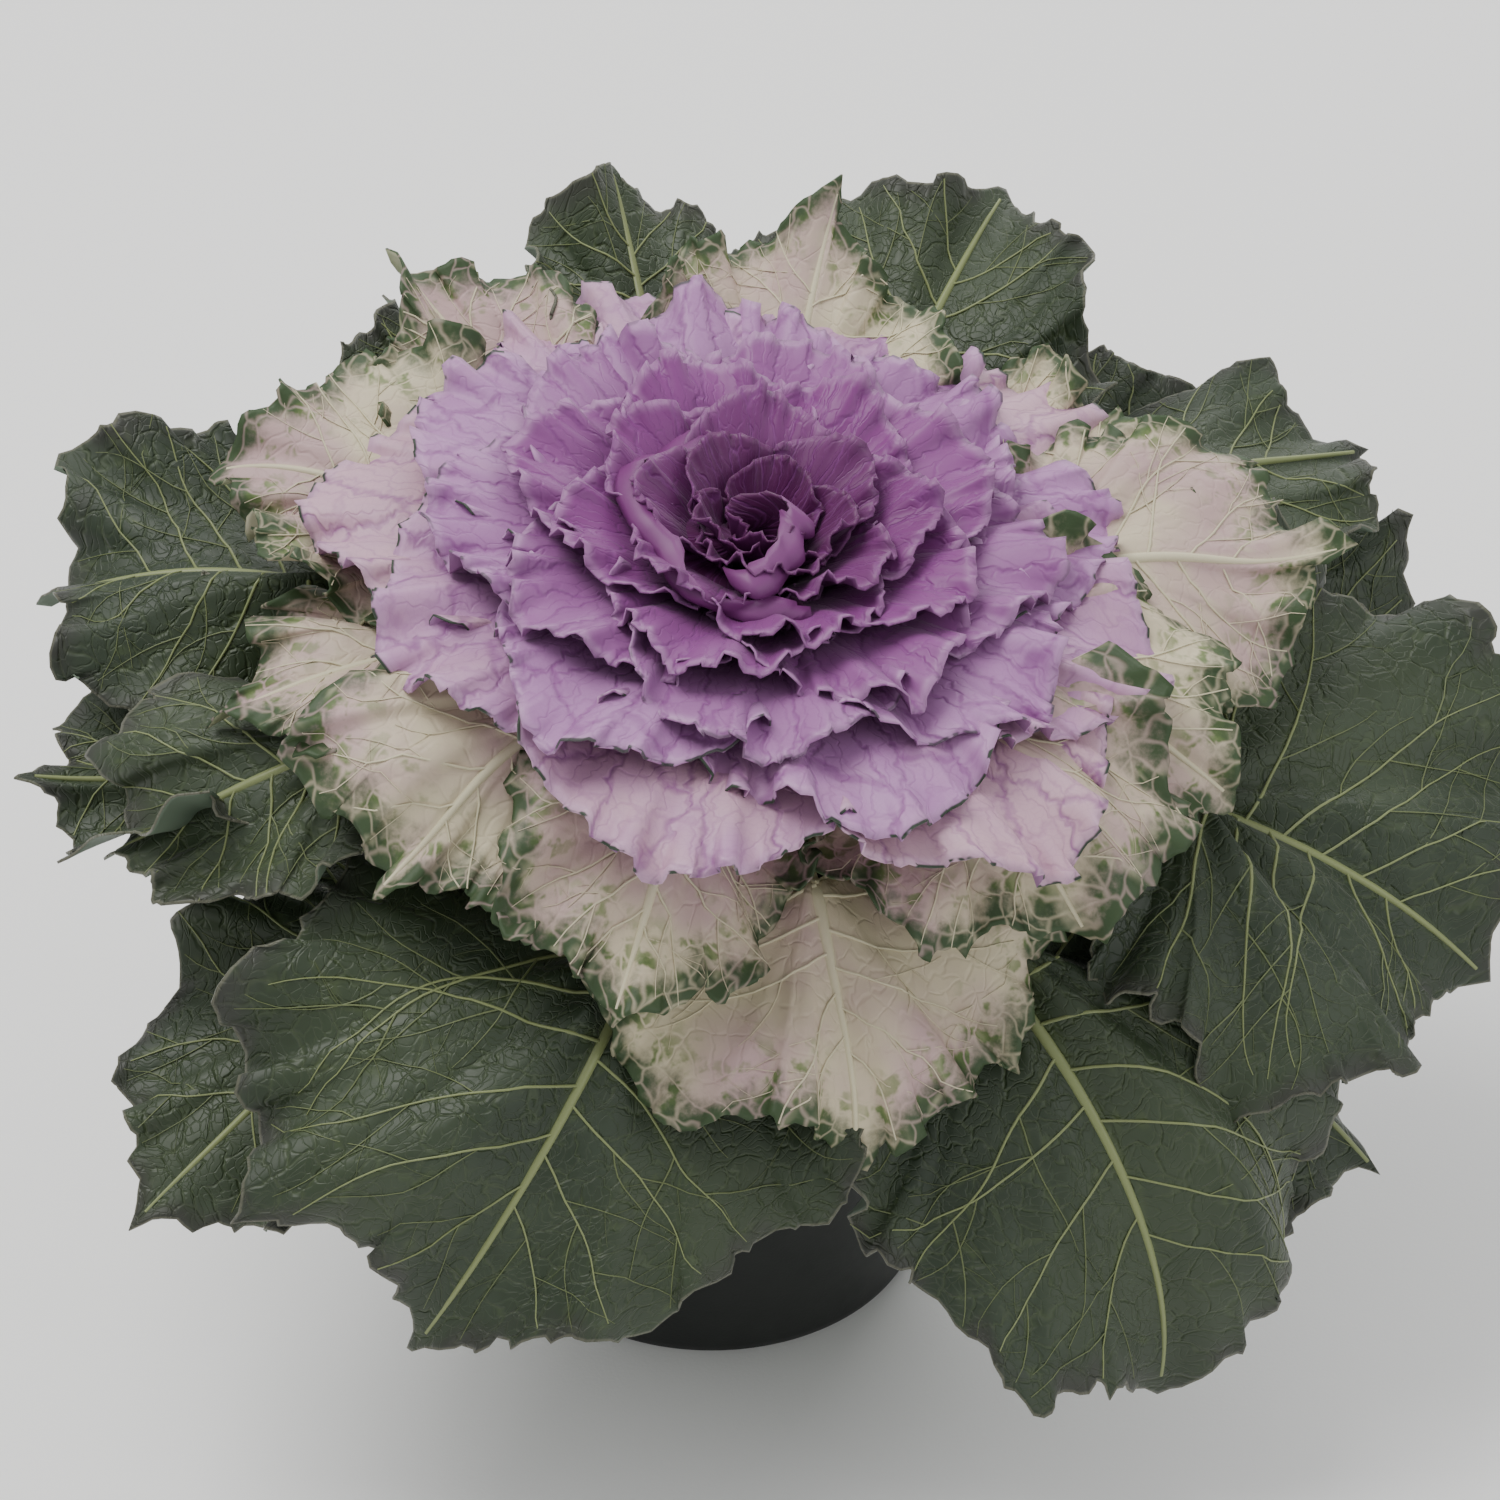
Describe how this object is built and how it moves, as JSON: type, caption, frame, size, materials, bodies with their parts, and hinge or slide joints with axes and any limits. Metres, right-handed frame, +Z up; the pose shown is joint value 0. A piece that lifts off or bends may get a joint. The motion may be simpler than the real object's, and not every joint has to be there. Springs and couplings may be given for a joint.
{
  "type": "potted ornamental kale",
  "caption": "Ornamental kale plant in a round plastic nursery pot: ruffled purple rosette, pink and cream variegated collar, wide veined green lower leaves",
  "frame": {"origin": "middle of the pot's underside, on the surface the pot stands on", "axes": "+Z up; -Y is the side looked at most, towards which the crown leans; +X to its right"},
  "size_m": [0.4311, 0.3132, 0.3021],
  "materials": {
    "pot": "matte black moulded plastic",
    "soil": "dark crumbly moist potting mix",
    "stem": "pale green woody stalk with leaf scars",
    "green_leaf": "waxy dark grey-green leaf with yellow-green veins",
    "variegated_leaf": "cream and dusty pink leaf with a green mottled margin",
    "purple_leaf": "satin lilac to deep purple leaf with fine darker veins"
  },
  "bodies": {
    "root": {"pot": "pot", "potting_mix": "soil", "stem": "stem", "leaf_right": "green_leaf", "leaf_front_right": "green_leaf", "leaf_front_left": "green_leaf", "leaf_low_left": "green_leaf", "leaf_middle_left": "green_leaf", "leaf_left": "green_leaf", "leaf_left_upper": "green_leaf", "leaf_left_back": "green_leaf", "leaf_back_left": "green_leaf", "leaf_back": "green_leaf", "leaf_back_right": "green_leaf", "leaf_right_upper": "green_leaf", "leaf_right_back": "green_leaf", "leaf_right_middle": "green_leaf", "leaf_right_lower": "green_leaf", "leaf_low_right": "green_leaf", "variegated_front": "variegated_leaf", "variegated_right": "variegated_leaf", "variegated_right_back": "variegated_leaf", "variegated_back": "variegated_leaf", "variegated_left_back": "variegated_leaf", "variegated_left": "variegated_leaf", "variegated_left_low": "variegated_leaf", "variegated_front_left": "variegated_leaf", "variegated_front_middle": "variegated_leaf", "variegated_front_right": "variegated_leaf", "variegated_right_low": "variegated_leaf", "rosette_head": "purple_leaf"}
  },
  "joints": []
}
